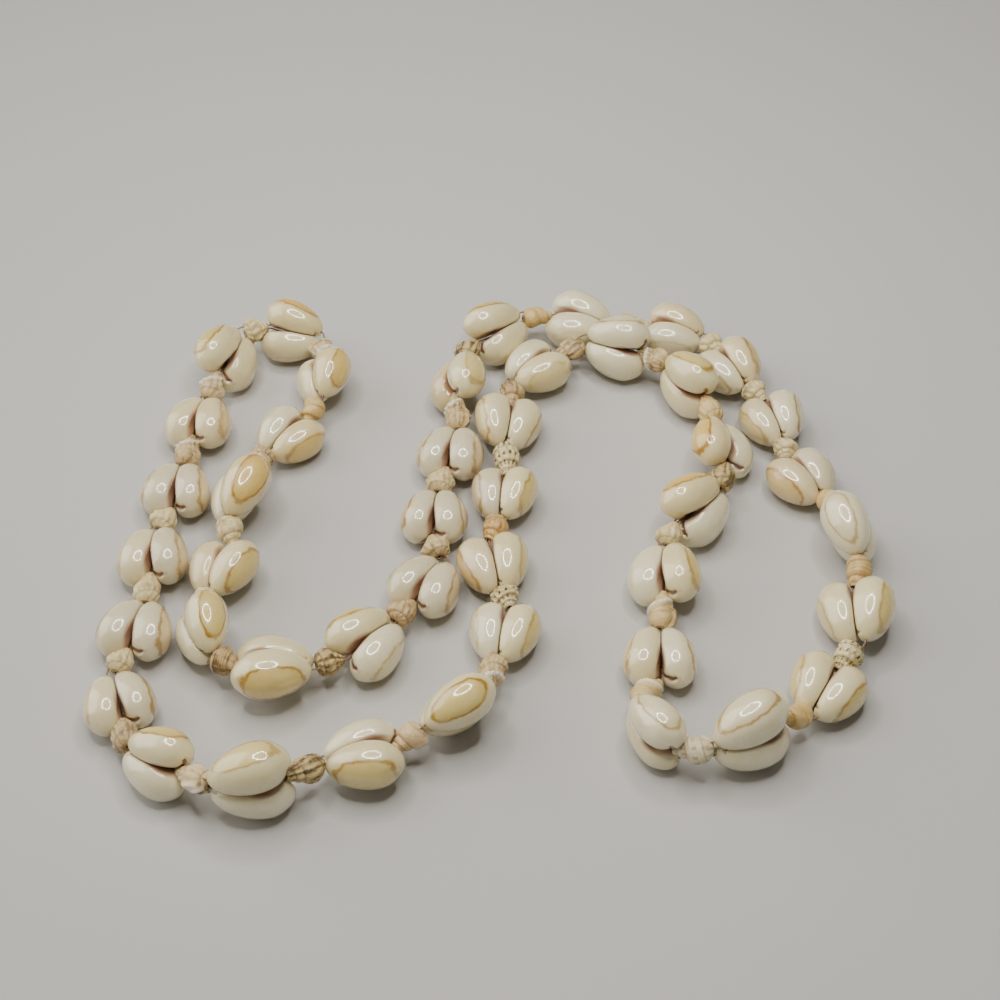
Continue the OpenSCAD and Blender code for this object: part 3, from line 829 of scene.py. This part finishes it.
    spire = np.stack([both(np.cos(angle)), both(np.sin(angle)), both(across)], -1)
    # the first value of mark is how far into the mouth or the bore a point lies, for its painted
    # shade
    mark = np.stack([both(smoothStep(mouth * 1.6), none + 1), both(lip), both(0)], -1)
    return np.concatenate([outer, inner]), {"spire": spire, "mark": mark}


# how deep points lie in the cowries of pair i, in mm: the radius there less the distance from
# the long axis, for points at least 0.1 mm on that cowrie's side of the middle plane
def depthIn(points, i):
    row, outside = pairs[i], -9.0
    k = row[lengthAt] / referenceLength
    fromMiddle = points - centres[i]
    depth = outside
    for side in (1, -1):
        longAxis = shellAxes(row, side)[0]
        fromStart = fromMiddle - axisStart(row, side)
        u = fromStart @ longAxis
        cosine = np.clip(1 - 2 * u / row[lengthAt], -1, 1)
        radius = girth * k * np.sqrt(1 - cosine ** 2) * (1 - egg * cosine)
        fromAxis = np.linalg.norm(fromStart - u[..., None] * longAxis, axis=-1)
        own = fromMiddle @ pairAxes(row)[1] * side > 0.1
        depth = max(depth, np.where(own, radius - fromAxis, outside).max())
    return depth


for i, row in enumerate(pairs):
    tip, axis = snailPlace(i)[:2]
    lookName, nextPair = looks[i][4], (i + 1) % count
    up = np.array([0, -0.8, 1.0])  # toward the viewer's side
    u = unit(up - axis * (up @ axis))
    v = np.cross(axis, u)
    # the longest snail whose mouth end doesn't sink too deep into the next cowries
    longest = np.linalg.norm(closedEnds[nextPair] - tip) + snailShape["longer"]
    shortest = longest - snailShape["shorter"]
    for tried in np.linspace(longest, shortest, snailShape["tries"]):
        grid, values = snailGrid(int(row[formAt]), snailLooks[lookName], tried, i)
        points = place(grid, tip, u, v, axis)
        if depthIn(points / mm, nextPair) < snailShape["sink"]:
            break
    piece = gridMesh("snail_%02d" % (i + 1), [(points, values, True)], snailFinish[lookName])
    declare(piece, "spacer_shells")
print("snails", count)

# Lengths in mm, and boreExit as a share of the cowrie. The last four are how far stations lie
# from the end of a bore, a snail's tip, its throat and its mouth.
cordShape = {
    "radius": 0.2, "sides": 10, "steps": 5, "smoothings": 2,
    "spread": 0.4, "mouthSpread": 1.85, "boreExit": 0.66, "boreHeight": 0.3,
    "boreBack": 0.2, "tipBack": 0.6, "throatPast": 0.3, "mouthBack": 0.3,
}


# closed tube around a looped path: path + radius·(a·cos turn + b·sin turn), with a and b square
# to the path and a level; no stretch of the path is upright
def tubeGrid(path, radius, sides):
    tangent = np.roll(path, -1, 0) - np.roll(path, 1, 0)
    tangent /= np.linalg.norm(tangent, axis=1, keepdims=True)
    a = np.cross(tangent, (0, 0, 1.0))
    a /= np.linalg.norm(a, axis=1, keepdims=True)
    b = np.cross(tangent, a)
    turn = 2 * np.pi * np.arange(sides) / sides
    ring = a[:, None] * np.cos(turn)[None, :, None] + b[:, None] * np.sin(turn)[None, :, None]
    return path[:, None] + radius * ring


# v without its part along the axis, at the given length
def beside(axis, v, distance):
    return distance * unit(v - axis * (v @ axis))


# the six stations of one cord for pair i and the snail after it, as in the CAD
def cordStations(i, side):
    c = cordShape
    row, nextRow = pairs[i], pairs[(i + 1) % count]
    tip, axis, length, mouth = snailPlace(i)
    start = axisStart(row, side)
    leave = bellyPoint(row, side, c["boreExit"] * row[lengthAt], c["boreHeight"])
    ahead = side * pairAxes(nextRow)[1]
    atTip = beside(axis, side * pairAxes(row)[1], c["spread"])
    atThroat = beside(axis, ahead, c["spread"])
    throatEnd = length * (1 - mouthFlare) + c["throatPast"]
    return [
        centres[i] + start - c["boreBack"] * unit(leave - start),
        centres[i] + leave,
        tip - c["tipBack"] * axis + atTip,
        tip + throatEnd / 2 * axis + beside(axis, atTip + atThroat, c["spread"]),
        tip + throatEnd * axis + atThroat,
        mouth - c["mouthBack"] * axis + beside(axis, ahead, c["mouthSpread"]),
    ]


cords = []
for side in (1, -1):
    path = np.array([s for i in range(count) for s in cordStations(i, side)])
    # straight steps between the stations, rounded by a 1-2-1 mean of each with its neighbours
    f = np.linspace(0, 1, cordShape["steps"], endpoint=False)[None, :, None]
    fine = (path[:, None] * (1 - f) + np.roll(path, -1, 0)[:, None] * f).reshape(-1, 3)
    for repeat in range(cordShape["smoothings"]):
        fine = (np.roll(fine, 1, 0) + 2 * fine + np.roll(fine, -1, 0)) / 4
    travelled = np.cumsum(np.linalg.norm(np.diff(fine, axis=0, prepend=fine[:1]), axis=1))
    turns = np.arange(cordShape["sides"]) / cordShape["sides"]
    strand = np.stack(np.broadcast_arrays(travelled[:, None], turns[None, :], 0.0), -1)
    tube = tubeGrid(fine, cordShape["radius"], cordShape["sides"]) * mm
    cords.append((tube, {"strand": strand}, True))
declare(gridMesh("thread", cords, cordMaterial("cord")), "thread")
print("thread")

studio = {
    "floor": (0.50, 0.49, 0.47), "floorHalf": 3.0, "floorRough": 0.9,
    "world": (1.0, 0.98, 0.94), "worldStrength": 0.10,
}
floorMesh = bpy.data.meshes.new("floor")
h = studio["floorHalf"]
floorMesh.from_pydata([(-h, -h, 0), (h, -h, 0), (h, h, 0), (-h, h, 0)], [], [(0, 1, 2, 3)])
floorFinish = Finish("floor")
floorFinish.shade({"Base Color": rgb(studio["floor"]), "Roughness": studio["floorRough"]})
floorMesh.materials.append(floorFinish.material)
linked(bpy.data.objects.new("floor", floorMesh))

# A ring light above the string, in metres, gives the small white loops on the enamel
ringLight = {"centre": (-0.02, 0.05, 0.40), "inner": 0.125, "outer": 0.143, "segments": 64,
             "strength": 46.0, "colour": (1.0, 0.97, 0.92)}
s = ringLight["segments"]
turn = 2 * np.pi * np.arange(s) / s
rims = [np.stack([r * np.cos(turn), r * np.sin(turn), 0 * turn], -1) + ringLight["centre"]
        for r in (ringLight["inner"], ringLight["outer"])]
lampMesh = bpy.data.meshes.new("ring_light")
lampMesh.from_pydata(np.concatenate(rims).tolist(), [],
                     [(k, (k + 1) % s, s + (k + 1) % s, s + k) for k in range(s)])
glow = bpy.data.materials.new("ring_light")
glow.use_nodes = True
glow.node_tree.nodes.clear()
emit = glow.node_tree.nodes.new("ShaderNodeEmission")
emit.inputs["Strength"].default_value = ringLight["strength"]
emit.inputs["Color"].default_value = rgb(ringLight["colour"])
out = glow.node_tree.nodes.new("ShaderNodeOutputMaterial")
glow.node_tree.links.new(emit.outputs[0], out.inputs[0])
lampMesh.materials.append(glow)
linked(bpy.data.objects.new("ring_light", lampMesh))

world = bpy.data.worlds.new("studio")
world.use_nodes = True
background = world.node_tree.nodes["Background"]
background.inputs["Color"].default_value = rgb(studio["world"])
background.inputs["Strength"].default_value = studio["worldStrength"]
bpy.context.scene.world = world


# turns an object so that its -Z looks at the target and +Y stays up
def aim(item, target):
    back = unit(np.array(item.location) - np.array(target))
    right = unit(np.cross((0, 0, 1.0), back))
    up = np.cross(back, right)
    item.rotation_euler = Matrix(np.stack([right, up, back], 1).tolist()).to_euler()


# place and edge in metres, power in watts
softLights = {
    "key": {"place": (-1.6, 0.5, 0.9), "edge": 2.0, "power": 34.0, "colour": (1.0, 0.98, 0.94)},
    "fill": {"place": (0.7, -0.6, 0.7), "edge": 0.9, "power": 0.5, "colour": (1.0, 0.98, 0.95)},
}
for name, light in softLights.items():
    data = bpy.data.lights.new(name, "AREA")
    data.size, data.energy, data.color = light["edge"], light["power"], light["colour"]
    lamp = linked(bpy.data.objects.new(name, data))
    lamp.location = light["place"]
    aim(lamp, (0, 0, 0))

# The photo's view: 48 degrees down, straight along +Y, from 380 mm to a point 6 mm above the
# origin of the string's own x and y
viewFrom = {"elevation": 48.0, "distance": 380.0, "height": 6.0,
            "lens": 57.6, "sensor": 36.0, "nearest": 0.01}
target = (np.array([0, 0, viewFrom["height"]]) - middle) * mm
e = np.radians(viewFrom["elevation"])
camera = linked(bpy.data.objects.new("camera", bpy.data.cameras.new("camera")))
camera.location = target + viewFrom["distance"] * mm * np.array([0, -np.cos(e), np.sin(e)])
camera.data.lens = viewFrom["lens"]
camera.data.sensor_width = viewFrom["sensor"]
camera.data.clip_start = viewFrom["nearest"]
aim(camera, target)
bpy.context.scene.camera = camera

print("done")
